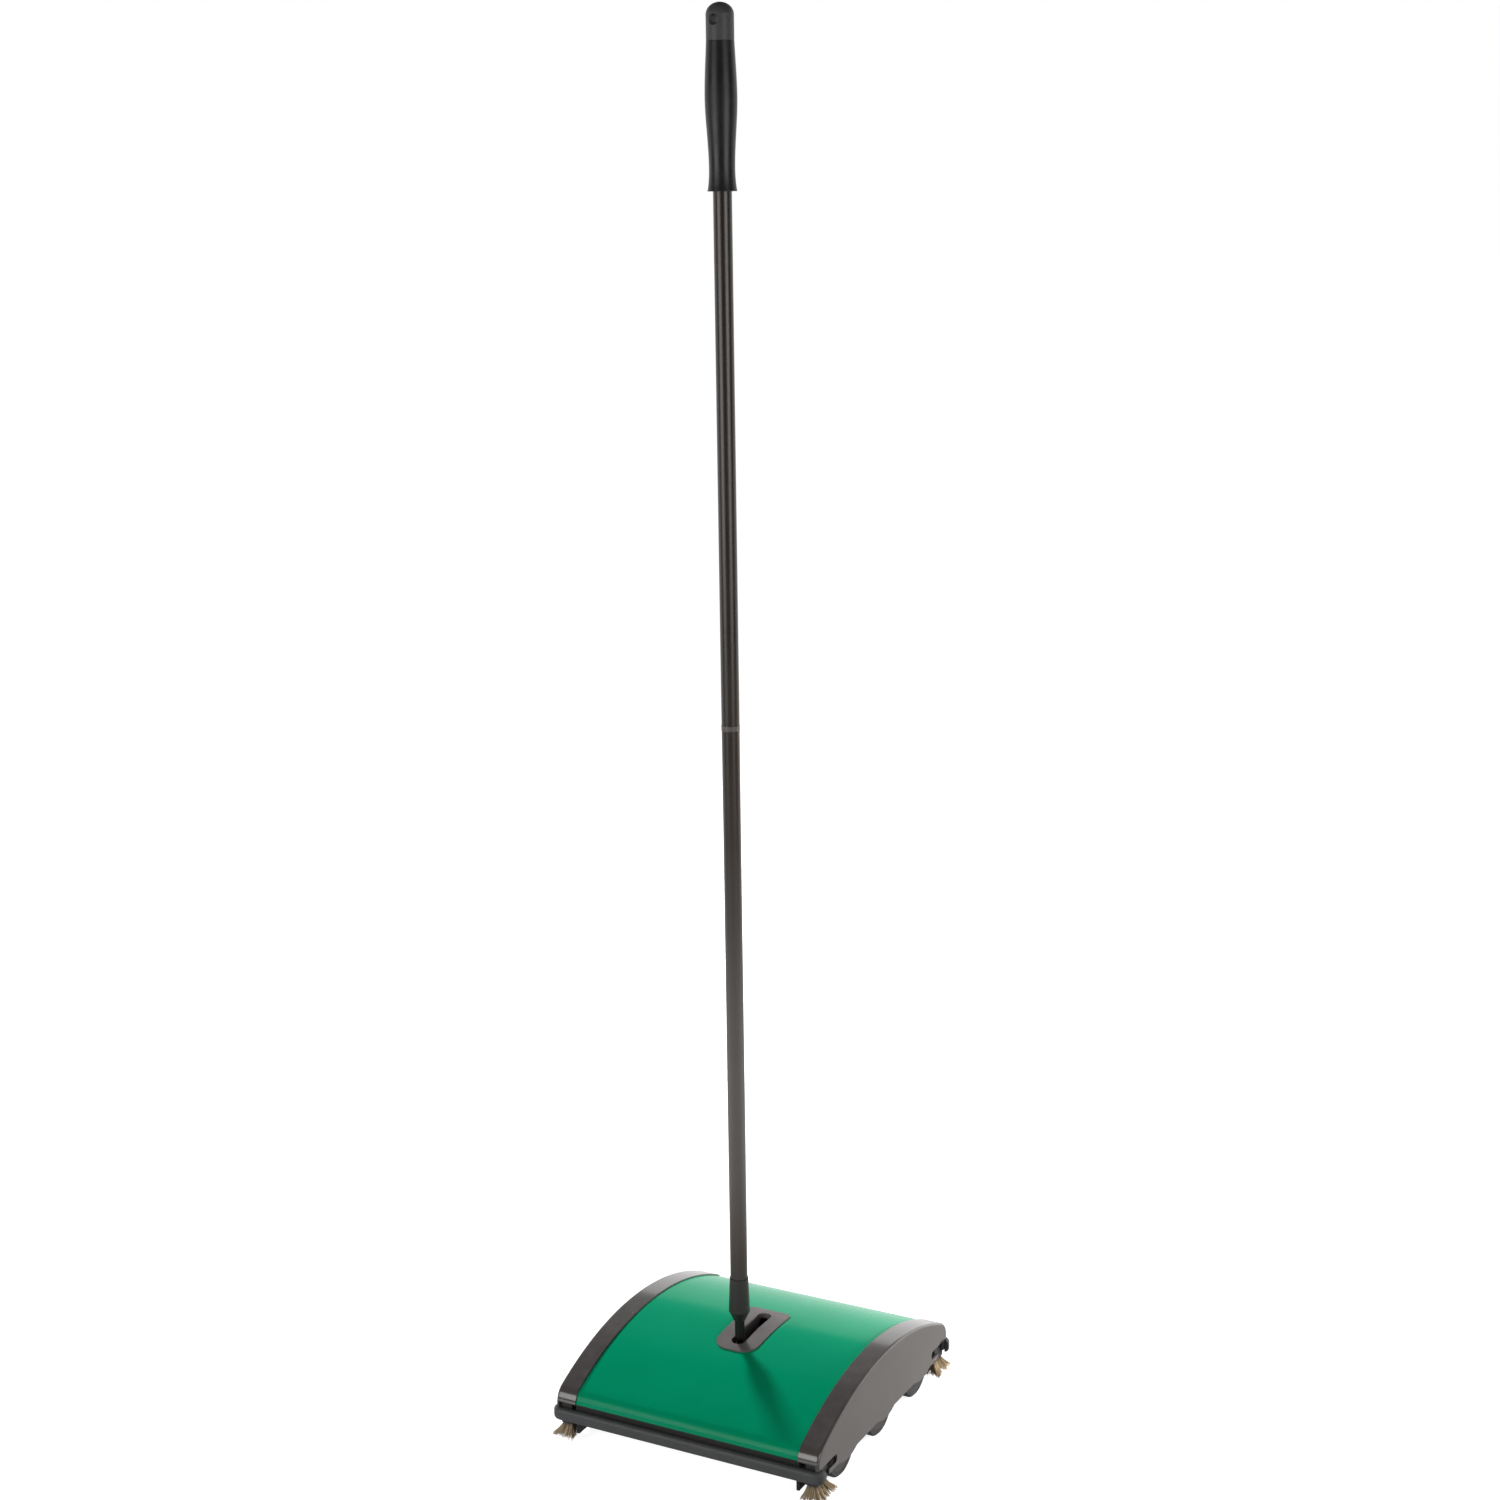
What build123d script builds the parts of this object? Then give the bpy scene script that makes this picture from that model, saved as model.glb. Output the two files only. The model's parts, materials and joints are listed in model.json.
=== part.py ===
from build123d import *
from math import atan2, hypot, radians, sin, sqrt, tan
import os

# Carpet sweeper, millimetres. +Z up, front at -Y, origin on the floor under the middle of the case.

# Running gear
wheel_diameter = 50.0
wheel_pitch = 72.0            # between neighbouring wheels on one side
tyre_width = 9.0
tyre_depth = 5.0
axle_radius = 2.5
hub_boss_radius = 6.0
hub_disc = 2.4                # disc that closes a wheel's outer side
hub_rim = 2.5
hub_ribs = 5
hub_rib_width = 1.8
traction_gap = 0.3            # between a tyre and the drive drum it turns
running_gap = 0.05            # radial play of anything that turns on a pin or shaft
side_play = 0.3               # axial play of a wheel between its bosses

# Brush rolls
brush_length = 190.0          # length of a roll's core, the cleaning path
bristle_radius = 28.0
bristle_floor_gap = 0.6
core_radius = 9.5
sleeve_wall = 1.2             # strip that the tufts are set in
sleeve_margin = 2.0
shaft_radius = 3.0
roll_end_gap = 3.0            # from the core's end to the side plate
bush_wall = 2.0
bush_flange = 2.0
bush_flange_depth = 1.0
tuft_rows = 4
tufts_in_row = 30
tuft_side = 1.6
tuft_twist = 150.0            # degrees that a row winds round the core from end to end

# Case
plate_wall = 2.5              # inner side plates
wheel_bay = 15.0              # from side plate to the end cap's outer wall
cap_wall = 2.5
cap_band = 18.0               # end cap's band beside the cover
band_proud = 1.2
cap_edge_round = 2.2
cover_tuck = 6.5              # cover reaching in under the band
sheet = 0.8
seat_gap = 0.1                # between pieces that are assembled against each other
spare = 1.0                   # a cut's run past the face that it opens
arch_radius = 265.0
shoulder_round = 14.0
nose_length = 27.0            # from the outer wheel's tread to the lip
tyre_headroom = 10.7          # over the outer tyres
lip_foot = 34.5
plate_foot = 9.0
cap_skirt = 19.0
lobe_drop = 3.5
lobe_radius = 40.0
notch_top = 30.0
notch_foot = 23.0
notch_throat = 18.0
notch_reach = 32.0
boss_wall = 2.5
screw_radius = 1.6
screw_head_radius = 3.2
screw_head_depth = 1.6
screw_rise = 27.0             # upper screws above the roll axis
corner_screw_setback = 18.0
corner_screw_height = 41.0

# Bumpers and the rails that carry them below the lips
bumper_foot = 19.0
bumper_top = 29.5
bumper_thickness = 4.4
bumper_side = 3.6
bumper_return = 5.0
bumper_corner = 8.0
bumper_edge_round = 3.0
tongue_height = 3.0           # bumper's tongue in the rail's groove
tongue_depth = 1.4
rail_wall = 2.0
rail_rise = 5.0               # rail up behind the lip

# Dust pans
pan_wall = 1.2
pan_floor = 8.5
pan_brush_gap = 2.5
pan_lip_height = 23.0
pan_side_height = 29.0
pan_side_gap = 1.2
pan_corner_round = 4.0
rod_radius = 2.0
rod_setback = 8.5             # hinge rod behind the lip
rod_height = 16.5
knuckle_wall = 1.4
knuckle_web = 4.0
knuckle_length = 16.0
knuckle_spacing = 70.0
pan_front_gap = 1.0           # pan's front wall behind its knuckles
tab_length = 40.0
tab_width = 4.0
tab_drop = 4.0
stop_gap = 0.3                # pan stop above the shut pan
stop_length = 10.0
stop_depth = 4.0
stop_reach = 5.0

# Corner brushes
holder_length = 18.0
holder_width = 10.4
holder_foot = 15.0
holder_top = 36.0
holder_nose_gap = 2.0
tuft_slice = 2.0
tuft_margin = 1.0
tuft_columns = 6
tuft_ranks = 5
tuft_spread_across = 2.9
tuft_spread_along = 2.0
tuft_lean = 2.0
corner_strand = 1.0

# Handle and its pivot
overall_height = 1118.0
pivot_drop = 22.0             # pivot below the crown of the case
stem_offset = 29.0            # handle in front of its pivot
stem_radius = 4.0
stem_knee_drop = 4.0          # knee of the bent stem below the crown
stem_bend = 12.0
hub_radius = 5.5
pin_radius = 2.5
pin_head_radius = 4.0
pin_head_depth = 1.2
clip_radius = 5.0
washer_thickness = 0.5
washer_gap = 0.05
slot_side_gap = 2.2
slot_end_gap = 3.5
tilt_limit = 85.0
ear_wall = 3.0
ear_rim = 4.0
plate_proud = 1.2
plate_depth = 3.2
plate_side = 12.6             # slot plate beside the slot
plate_end = 8.0               # slot plate beyond the slot
plate_front_round = 13.0
plate_rear_round = 4.0
plate_lap = 2.0               # flange lying on the cover
snap_length = 10.0
snap_depth = 1.6
snap_reach = 1.0
ferrule_foot = 89.0
ferrule_cone = 8.0
ferrule_length = 37.0
ferrule_foot_radius = 5.0
ferrule_radius = 8.7
ferrule_top_radius = 7.6
stem_socket = 23.0
tube_radius = 7.0
tube_wall = 0.8
joint_height = 583.0
joint_ring = 4.0
joint_ring_proud = 0.25
joint_spigot = 40.0
grip_length = 106.0
cap_length = 27.0
grip_flare_radius = 11.0
grip_waist_radius = 9.7
grip_waist_height = 22.0
grip_belly_radius = 11.8
grip_belly_height = 59.0
grip_top_radius = 10.3
dome_height = 9.0
hang_radius = 4.0
hang_drop = 12.5              # hanging hole below the top
grip_spigot = 20.0

# Stations and places worked out from the sizes above
wheel_radius = wheel_diameter / 2
roll_half = brush_length / 2
plate_in = roll_half + roll_end_gap
plate_out = plate_in + plate_wall
wall_in = plate_out + wheel_bay
half_width = wall_in + cap_wall
band_in = half_width - cap_band
cover_half = band_in + cover_tuck
wheel_station = (plate_out + wall_in) / 2
half_depth = wheel_pitch + wheel_radius + nose_length
arch_drop_at_wheel = arch_radius - sqrt(arch_radius**2 - wheel_pitch**2)
crown = wheel_diameter + tyre_headroom + cap_wall - band_proud + arch_drop_at_wheel
roll_place = wheel_pitch / 2
roll_height = bristle_radius + bristle_floor_gap
drum_radius = hypot(roll_place, roll_height - wheel_radius) - wheel_radius - traction_gap
boss_radius = axle_radius + boss_wall
boss_length = (wheel_bay - tyre_width) / 2 - side_play
wheel_places = [-wheel_pitch, 0.0, wheel_pitch]
wheel_rows = {"front": -wheel_pitch, "middle": 0.0, "rear": wheel_pitch}
sides = {"left": -1, "right": 1}
screw_places = [(end * roll_place, roll_height + screw_rise) for end in (-1, 1)]
screw_places += [(end * (half_depth - corner_screw_setback), corner_screw_height) for end in (-1, 1)]
pivot_height = crown - pivot_drop
knee_height = crown - stem_knee_drop
slot_half = stem_radius + slot_side_gap
hub_half = slot_half - washer_thickness - 2 * washer_gap
knee_angle = atan2(knee_height - pivot_height, -stem_offset)
tilted_angle = knee_angle - radians(tilt_limit)
plate_rise = crown + plate_proud - pivot_height
slot_front = -(stem_offset + stem_radius + slot_end_gap)
slot_rear = plate_rise / tan(tilted_angle) + stem_radius / sin(tilted_angle) + slot_end_gap
rail_half = plate_in - seat_gap
rod_place = half_depth - rod_setback
knuckle_radius = rod_radius + knuckle_wall
pan_front = rod_place - knuckle_radius - pan_front_gap
pan_half = plate_in - pan_side_gap
grip_foot = overall_height - cap_length - grip_length
cap_foot = overall_height - cap_length
tube_bore = tube_radius - tube_wall


def along_x(section, start, end):
    """A section drawn on (Y, Z), carried from one X station to another."""
    return extrude(Plane.YZ.offset(start) * section, end - start)


def rod_x(radius, start, end, y, z):
    """A round bar along X."""
    return Pos((start + end) / 2, y, z) * Rot(0, 90, 0) * Cylinder(radius, end - start)


def block(low, high):
    """A box between two corners."""
    size = [b - a for a, b in zip(low, high)]
    middle = [(a + b) / 2 for a, b in zip(low, high)]
    return Pos(*middle) * Box(*size)


def patch(low, high):
    """A rectangle between two corners of a drawing."""
    middle = Pos((low[0] + high[0]) / 2, (low[1] + high[1]) / 2)
    return middle * Rectangle(high[0] - low[0], high[1] - low[1])


def turned(points, y=0.0):
    """A solid turned about the upright line at this Y from (radius, height) corners."""
    return Pos(0, y, 0) * revolve(Plane.XZ * make_face(Polyline(*points, close=True)), Axis.Z)


def case_section(inset, foot):
    """The arched section of the case, moved inwards by inset and closed at height foot."""
    half = half_depth - inset
    radius = arch_radius - inset
    top = crown - inset
    shoulder = top - radius + sqrt(radius**2 - half**2)
    arch = ThreePointArc((-half, shoulder), (0, top), (half, shoulder))
    walls = Polyline((half, shoulder), (half, foot), (-half, foot), (-half, shoulder))
    section = make_face(arch.edges() + walls.edges())
    corners = [v for v in section.vertices() if v.Y > foot + spare]
    return fillet(corners, shoulder_round - inset)


def plate_plan(margin):
    """Outline of the slot plate seen from above, drawn in by margin."""
    side = slot_half + plate_side - margin
    front = slot_front - plate_end + margin
    rear = slot_rear + plate_end - margin
    outline = patch((-side, front), (side, rear))
    front_corners = outline.vertices().group_by(Axis.Y)[0]
    outline = fillet(front_corners, plate_front_round - margin)
    rear_corners = outline.vertices().group_by(Axis.Y)[-1]
    return fillet(rear_corners, plate_rear_round - margin)


def arch_slab(plan, upper, lower):
    """The part of the arched skin between two insets that lies inside a plan outline."""
    skin = case_section(upper, plate_foot) - case_section(lower, 0)
    skin = skin & patch((-half_depth, pivot_height), (half_depth, crown + plate_proud + spare))
    return along_x(skin, -half_width, half_width) & extrude(plan, crown + plate_proud + spare)


def make_cover():
    """Arched sheet with a turned-down lip at the front and rear, cut out for the slot plate."""
    skin = case_section(0, plate_foot) - case_section(sheet, 0)
    skin = skin & patch((-half_depth, lip_foot), (half_depth, crown + spare))
    cover = along_x(skin, -cover_half, cover_half)
    return cover - extrude(plate_plan(plate_lap), crown + spare)


def make_slot_plate():
    """Slotted plate on the cover, with two ears below it that hold the handle's pin."""
    plate = arch_slab(plate_plan(0), -plate_proud, 0)
    plate += arch_slab(plate_plan(plate_lap + seat_gap), -plate_proud, plate_depth)
    for place in (slot_front / 2, slot_rear / 2):
        for side in (-1, 1):
            edge = side * (slot_half + plate_side - plate_lap - seat_gap)
            low = (edge - snap_reach, place - snap_length / 2)
            high = (edge + snap_reach, place + snap_length / 2)
            plate += arch_slab(patch(low, high), sheet + seat_gap, sheet + seat_gap + snap_depth)
    ear = Pos(0, pivot_height) * Circle(pin_radius + ear_rim)
    root = patch((slot_front / 2, crown - 2 * plate_depth), (slot_rear, crown))
    ear = make_hull((ear + root).edges())
    ear = ear & case_section(plate_depth / 2, 0)
    for side in (-1, 1):
        inner = side * slot_half
        outer = side * (slot_half + ear_wall)
        plate += along_x(ear, min(inner, outer), max(inner, outer))
    slot = Rot(0, 0, 90) * SlotOverall(slot_rear - slot_front, 2 * slot_half)
    plate -= extrude(Pos(0, (slot_front + slot_rear) / 2) * slot, crown + plate_proud + spare)
    return plate - rod_x(pin_radius, -half_width, half_width, 0, pivot_height)


def make_pivot_pin():
    """Headed pin through both ears."""
    reach = slot_half + ear_wall
    pin = rod_x(pin_radius, -reach, reach + pin_head_depth, 0, pivot_height)
    head = rod_x(pin_head_radius, -reach - pin_head_depth, -reach, 0, pivot_height)
    return pin + head


def make_pivot_clip():
    """Spring clip on the pin's far end, open on one side."""
    reach = slot_half + ear_wall
    ring = Circle(clip_radius) - Circle(pin_radius)
    ring -= patch((-pin_radius / 2, -clip_radius - spare), (pin_radius / 2, 0))
    return along_x(Pos(0, pivot_height) * ring, reach, reach + pin_head_depth)


def make_friction_washers():
    """Two washers that brake the handle's hub against the ears."""
    ring = Pos(0, pivot_height) * (Circle(hub_radius) - Circle(pin_radius))
    start = hub_half + washer_gap
    return [along_x(ring, side * start, side * (start + washer_thickness)) for side in (-1, 1)]


def cap_outline():
    """Side view of an end cap: arch, scalloped skirt and a notch at each end."""
    outline = case_section(-band_proud, cap_skirt)
    lobe_centre = cap_skirt - lobe_drop + lobe_radius
    for place in wheel_places:
        lobe = Pos(place, lobe_centre) * Circle(lobe_radius)
        outline += lobe & patch((place - lobe_radius, 0), (place + lobe_radius, notch_top))
    slot_radius = (notch_top - notch_foot) / 2
    for end in (-1, 1):
        throat = end * (half_depth - notch_throat)
        tip = end * (half_depth - notch_reach + slot_radius)
        outer = end * (half_depth + band_proud + spare)
        outline -= patch((min(throat, outer), 0), (max(throat, outer), notch_top))
        outline -= patch((min(tip, outer), notch_foot), (max(tip, outer), notch_top))
        outline -= Pos(tip, (notch_top + notch_foot) / 2) * Circle(slot_radius)
    return outline


def make_end_cap():
    """Right end cap: band over the cover, outer wall, and bosses for axles, shafts and screws."""
    outline = cap_outline()
    cap = along_x(outline, band_in, half_width)
    outer_edges = cap.faces().sort_by(Axis.X)[-1].edges()
    cap = fillet([e for e in outer_edges if e.center().Z > lip_foot + spare], cap_edge_round)
    cap -= along_x(case_section(cap_wall - band_proud, -spare), cover_half + seat_gap, wall_in)
    cap -= along_x(case_section(-seat_gap, -spare), band_in - spare, cover_half + seat_gap)
    lip = half_depth - cap_wall
    front_face = half_depth + band_proud + spare
    cap -= block((band_in - spare, -front_face, 0), (wall_in, -lip, lip_foot))
    cap -= block((band_in - spare, lip, 0), (wall_in, front_face, lip_foot))
    for place in wheel_places:
        cap += rod_x(boss_radius, wall_in - boss_length, wall_in + seat_gap, place, wheel_radius)
        cap -= rod_x(axle_radius, wall_in - boss_length - spare, wall_in, place, wheel_radius)
    shaft_boss = shaft_radius + boss_wall
    shaft_bore = shaft_radius + running_gap
    for place in (-roll_place, roll_place):
        cap += rod_x(shaft_boss, wall_in - boss_length, wall_in + seat_gap, place, roll_height)
        cap -= rod_x(shaft_bore, wall_in - boss_length - spare, wall_in, place, roll_height)
    for place, height in screw_places:
        cap += rod_x(screw_radius + boss_wall, plate_out, wall_in + seat_gap, place, height)
        cap -= rod_x(screw_radius, plate_out - spare, wall_in, place, height)
    return cap


def make_side_plate():
    """Right inner plate that carries the axles, roll bushes, hinge rods and pan stops."""
    plate = along_x(case_section(sheet + seat_gap, plate_foot), plate_in, plate_out)
    boss_end = plate_out + boss_length
    start = plate_in - spare
    for place in wheel_places:
        plate += rod_x(boss_radius, plate_out - seat_gap, boss_end, place, wheel_radius)
        plate -= rod_x(axle_radius, start, boss_end + spare, place, wheel_radius)
    bush_radius = shaft_radius + running_gap + bush_wall
    stop_foot = pan_side_height + stop_gap
    for end in (-1, 1):
        plate -= rod_x(bush_radius, start, plate_out + spare, end * roll_place, roll_height)
        plate -= rod_x(rod_radius, start, plate_out + spare, end * rod_place, rod_height)
        stop_middle = end * wheel_pitch
        low = (plate_in - stop_reach, stop_middle - stop_length / 2, stop_foot)
        high = (plate_in + seat_gap, stop_middle + stop_length / 2, stop_foot + stop_depth)
        plate += block(low, high)
    for place, height in screw_places:
        plate -= rod_x(screw_radius, start, plate_out + spare, place, height)
    return plate


def make_cap_screws():
    """Round-headed screws driven from inside through the side plates into the end caps."""
    screws = []
    for side in (-1, 1):
        for place, height in screw_places:
            screw = rod_x(screw_radius, plate_in, wall_in - spare, place, height)
            screw += rod_x(screw_head_radius, plate_in - screw_head_depth, plate_in, place, height)
            screws.append(screw if side > 0 else mirror(screw, about=Plane.YZ))
    return screws


def make_axles():
    """Pins that the wheels turn on, from side plate to end cap."""
    axles = []
    for side in (-1, 1):
        ends = sorted((side * plate_in, side * wall_in))
        axles += [rod_x(axle_radius, *ends, place, wheel_radius) for place in wheel_places]
    return axles


def make_bushes():
    """Flanged bushes in the side plates that the roll shafts turn in."""
    bore = shaft_radius + running_gap
    bushes = []
    for side in (-1, 1):
        for end in (-1, 1):
            body_ends = sorted((side * (plate_in - bush_flange_depth), side * plate_out))
            flange_ends = sorted((side * (plate_in - bush_flange_depth), side * plate_in))
            bush = rod_x(bore + bush_wall, *body_ends, end * roll_place, roll_height)
            bush += rod_x(bore + bush_wall + bush_flange, *flange_ends, end * roll_place, roll_height)
            bushes.append(bush - rod_x(bore, -half_width, half_width, end * roll_place, roll_height))
    return bushes


def make_bumper():
    """Front bumper: a soft strip with a tongue along its back, wrapped round both corners."""
    side_in = half_width + seat_gap
    front_in = half_depth + seat_gap
    side_out = side_in + bumper_side
    front_out = front_in + bumper_thickness
    outline = RectangleRounded(2 * side_out, 2 * front_out, bumper_corner)
    bumper = Pos(0, 0, bumper_foot) * extrude(outline, bumper_top - bumper_foot)
    bumper = fillet(bumper.faces().filter_by(Axis.Z).edges(), bumper_edge_round)
    bumper -= block((-side_in, -front_in, 0), (side_in, front_in, crown))
    bumper = bumper & block((-side_out, -front_out, 0), (side_out, bumper_return - half_depth, crown))
    low, high = tongue_corners(0)
    return bumper + along_x(patch(low, high), -rail_half, rail_half)


def tongue_corners(margin):
    """Section corners of the front bumper's tongue, let out by margin."""
    middle = (bumper_foot + bumper_top) / 2
    low = (-half_depth - spare, middle - tongue_height / 2 - margin)
    return low, (tongue_depth + margin - half_depth, middle + tongue_height / 2 + margin)


def make_lip_rail():
    """Front rail between the side plates: it rises behind the lip and seats the bumper below it."""
    behind_lip = half_depth - sheet - seat_gap
    back = rail_wall - behind_lip
    section = case_section(sheet + seat_gap, 0)
    section = section & patch((-behind_lip, bumper_foot), (back, lip_foot + rail_rise))
    section += patch((-half_depth, bumper_foot), (back, bumper_top))
    section -= patch(*tongue_corners(seat_gap))
    return along_x(section, -rail_half, rail_half)


def make_roll_shaft():
    """Steel shaft of the front roll, running in the bushes and the end cap bosses."""
    reach = wall_in - side_play
    return rod_x(shaft_radius, -reach, reach, -roll_place, roll_height)


def make_roll_core():
    """Turned core of the front roll."""
    core = rod_x(core_radius, -roll_half, roll_half, -roll_place, roll_height)
    return core - rod_x(shaft_radius, -half_width, half_width, -roll_place, roll_height)


def make_roll_drums():
    """Friction drums that the tyres turn, one on each end of the front roll."""
    drums = []
    for side in (-1, 1):
        inner = wheel_station - tyre_width / 2 - side_play
        outer = wheel_station + tyre_width / 2 + side_play
        drum = rod_x(drum_radius, *sorted((side * inner, side * outer)), -roll_place, roll_height)
        drums.append(drum - rod_x(shaft_radius, -half_width, half_width, -roll_place, roll_height))
    return drums


def make_roll_bristles():
    """Tufts set in winding rows in a strip round the front roll's core."""
    sleeve_half = roll_half - sleeve_margin
    sleeve = along_x(Circle(core_radius + sleeve_wall) - Circle(core_radius), -sleeve_half, sleeve_half)
    first = sleeve_half - 2 * tuft_side
    step = 2 * first / (tufts_in_row - 1)
    root = core_radius + sleeve_wall / 2
    tufts = []
    for row in range(tuft_rows):
        for number in range(tufts_in_row):
            place = -first + step * number
            turn = row * 360 / tuft_rows + tuft_twist * number / (tufts_in_row - 1)
            tuft = Pos(0, 0, root) * extrude(Rectangle(tuft_side, tuft_side), bristle_radius - root)
            tufts.append(Pos(place, 0, 0) * Rot(turn, 0, 0) * tuft)
    roll = sleeve.fuse(*tufts)
    return Pos(0, -roll_place, roll_height) * roll


def make_tyre(place):
    """Right-hand rubber tyre at this distance along the case."""
    half = tyre_width / 2
    ring = along_x(Circle(wheel_radius) - Circle(wheel_radius - tyre_depth), -half, half)
    rims = ring.edges().filter_by(GeomType.CIRCLE)
    ring = chamfer([e for e in rims if e.radius > wheel_radius - tyre_depth / 2], tyre_depth / 4)
    return Pos(wheel_station, place, wheel_radius) * ring


def make_wheel(place):
    """Right-hand wheel centre: boss, ribs and rim behind a disc that closes the outer side."""
    half = tyre_width / 2
    rim_out = wheel_radius - tyre_depth
    wheel = along_x(Circle(rim_out), -half, half)
    hollow = Circle(rim_out - hub_rim) - Circle(hub_boss_radius)
    wheel -= along_x(hollow, -half - spare, half - hub_disc)
    low = (-half, -hub_rib_width / 2, hub_boss_radius - hub_rim / 2)
    high = (half - hub_disc, hub_rib_width / 2, rim_out - hub_rim / 2)
    wheel = wheel.fuse(*[Rot(number * 360 / hub_ribs, 0, 0) * block(low, high) for number in range(hub_ribs)])
    wheel -= along_x(Circle(axle_radius + running_gap), -half - spare, half + spare)
    return Pos(wheel_station, place, wheel_radius) * wheel


def beside_brush(radius, height):
    """Point at this height on a circle round the front roll, on its front side."""
    return (-roll_place - sqrt(radius**2 - (roll_height - height) ** 2), height)


def pan_section(inset, top):
    """Section of the front pan, moved inwards by inset: front wall, floor and curved brush wall."""
    radius = bristle_radius + pan_brush_gap + inset
    floor = pan_floor + inset
    front = inset - pan_front
    foot = beside_brush(radius, floor)
    lip = beside_brush(radius, top)
    curve = ThreePointArc(foot, beside_brush(radius, (floor + top) / 2), lip)
    rest = Polyline(lip, (front, top), (front, floor), foot)
    section = make_face(curve.edges() + rest.edges())
    corner = section.vertices().group_by(Axis.X)[0].sort_by(Axis.Y)[0]
    return fillet(corner, pan_corner_round - inset)


def make_pan():
    """Front dust pan: a trough with a curved wall along the brush, hinged at its front edge."""
    pan = along_x(pan_section(0, pan_side_height), -pan_half, pan_half)
    inner_half = pan_half - pan_wall
    pan -= along_x(pan_section(pan_wall, pan_side_height + spare), -inner_half, inner_half)
    lip_edge = beside_brush(bristle_radius + pan_brush_gap + pan_wall, pan_side_height)[0] - spare
    pan -= block((-inner_half, lip_edge, pan_lip_height), (inner_half, -roll_place, crown))
    knuckle = Pos(-rod_place, rod_height) * Circle(knuckle_radius)
    web_half = knuckle_web / 2
    knuckle += patch((-rod_place, rod_height - web_half), (pan_wall / 2 - pan_front, rod_height + web_half))
    for place in (-knuckle_spacing, 0, knuckle_spacing):
        pan += along_x(knuckle, place - knuckle_length / 2, place + knuckle_length / 2)
    pan -= rod_x(rod_radius + running_gap, -half_width, half_width, -rod_place, rod_height)
    tab_rear = beside_brush(bristle_radius + pan_brush_gap, pan_floor)[0] - tab_width
    tab_low = (-tab_length / 2, tab_rear - tab_width, pan_floor - tab_drop)
    return pan + block(tab_low, (tab_length / 2, tab_rear, pan_floor + pan_wall / 2))


def make_hinge_rods():
    """Rods between the side plates that the pans hang on."""
    return [rod_x(rod_radius, -plate_out, plate_out, end * rod_place, rod_height) for end in (-1, 1)]


def holder_corners():
    """Low and high corner of the front right brush holder."""
    far = wall_in
    front = holder_nose_gap - half_depth
    return (far - holder_width, front, holder_foot), (far, front + holder_length, holder_top)


def make_holder():
    """Front right block that grips a corner brush, fixed inside the end cap's corner."""
    low, high = holder_corners()
    holder = block(low, high)
    upright = holder.edges().filter_by(Axis.Z)
    return fillet(upright, tuft_margin)


def make_corner_brush():
    """Front right corner brush: a splayed tuft under a slice of backing."""
    low, high = holder_corners()
    slice_low = (low[0] + tuft_margin, low[1] + tuft_margin, holder_foot - tuft_slice)
    slice_high = (high[0] - tuft_margin, high[1] - tuft_margin, holder_foot)
    backing = block(slice_low, slice_high)
    middle = [(a + b) / 2 for a, b in zip(slice_low, slice_high)]
    width = slice_high[0] - slice_low[0] - 2 * corner_strand
    length = slice_high[1] - slice_low[1] - 2 * corner_strand
    strands = []
    for column in range(tuft_columns):
        for rank in range(tuft_ranks):
            across = width * (column / (tuft_columns - 1) - 0.5)
            along = length * (rank / (tuft_ranks - 1) - 0.5)
            sideways = across * (tuft_spread_across - 1) + tuft_lean
            run = Vector(sideways, along * (tuft_spread_along - 1), -middle[2])
            root = Pos(middle[0] + across, middle[1] + along, middle[2])
            strands.append(extrude(root * Rectangle(corner_strand, corner_strand), run.length, dir=run))
    return backing.fuse(*strands)


def make_stem():
    """Bent steel stem of the handle with the hub that turns on the pin."""
    socket_end = ferrule_foot + stem_socket
    corners = [(0, 0, pivot_height), (0, -stem_offset, knee_height), (0, -stem_offset, socket_end)]
    path = FilletPolyline(*corners, radius=stem_bend)
    stem = sweep(Plane(path @ 0, z_dir=path % 0) * Circle(stem_radius), path=path)
    stem += rod_x(hub_radius, -hub_half, hub_half, 0, pivot_height)
    return stem - rod_x(pin_radius + running_gap, -half_width, half_width, 0, pivot_height)


def make_ferrule():
    """Tapered collar that joins the stem to the tube."""
    top = ferrule_foot + ferrule_length
    shelf = ferrule_foot + stem_socket
    corners = [
        (stem_radius, ferrule_foot), (ferrule_foot_radius, ferrule_foot),
        (ferrule_radius, ferrule_foot + ferrule_cone), (ferrule_top_radius, top),
        (tube_radius, top), (tube_radius, shelf), (stem_radius, shelf),
    ]
    return turned(corners, -stem_offset)


def make_tube(low, high):
    """A length of the handle's tube."""
    corners = [(tube_bore, low), (tube_radius, low), (tube_radius, high), (tube_bore, high)]
    return turned(corners, -stem_offset)


def make_joint():
    """Plug that joins the two tubes, with a ring showing between them."""
    low = joint_height - joint_ring / 2
    high = joint_height + joint_ring / 2
    spigot = tube_bore - running_gap
    bore = spigot - tube_wall
    ring = tube_radius + joint_ring_proud
    corners = [
        (bore, low - joint_spigot), (spigot, low - joint_spigot), (spigot, low), (ring, low),
        (ring, high), (spigot, high), (spigot, high + joint_spigot), (bore, high + joint_spigot),
    ]
    return turned(corners, -stem_offset)


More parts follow.
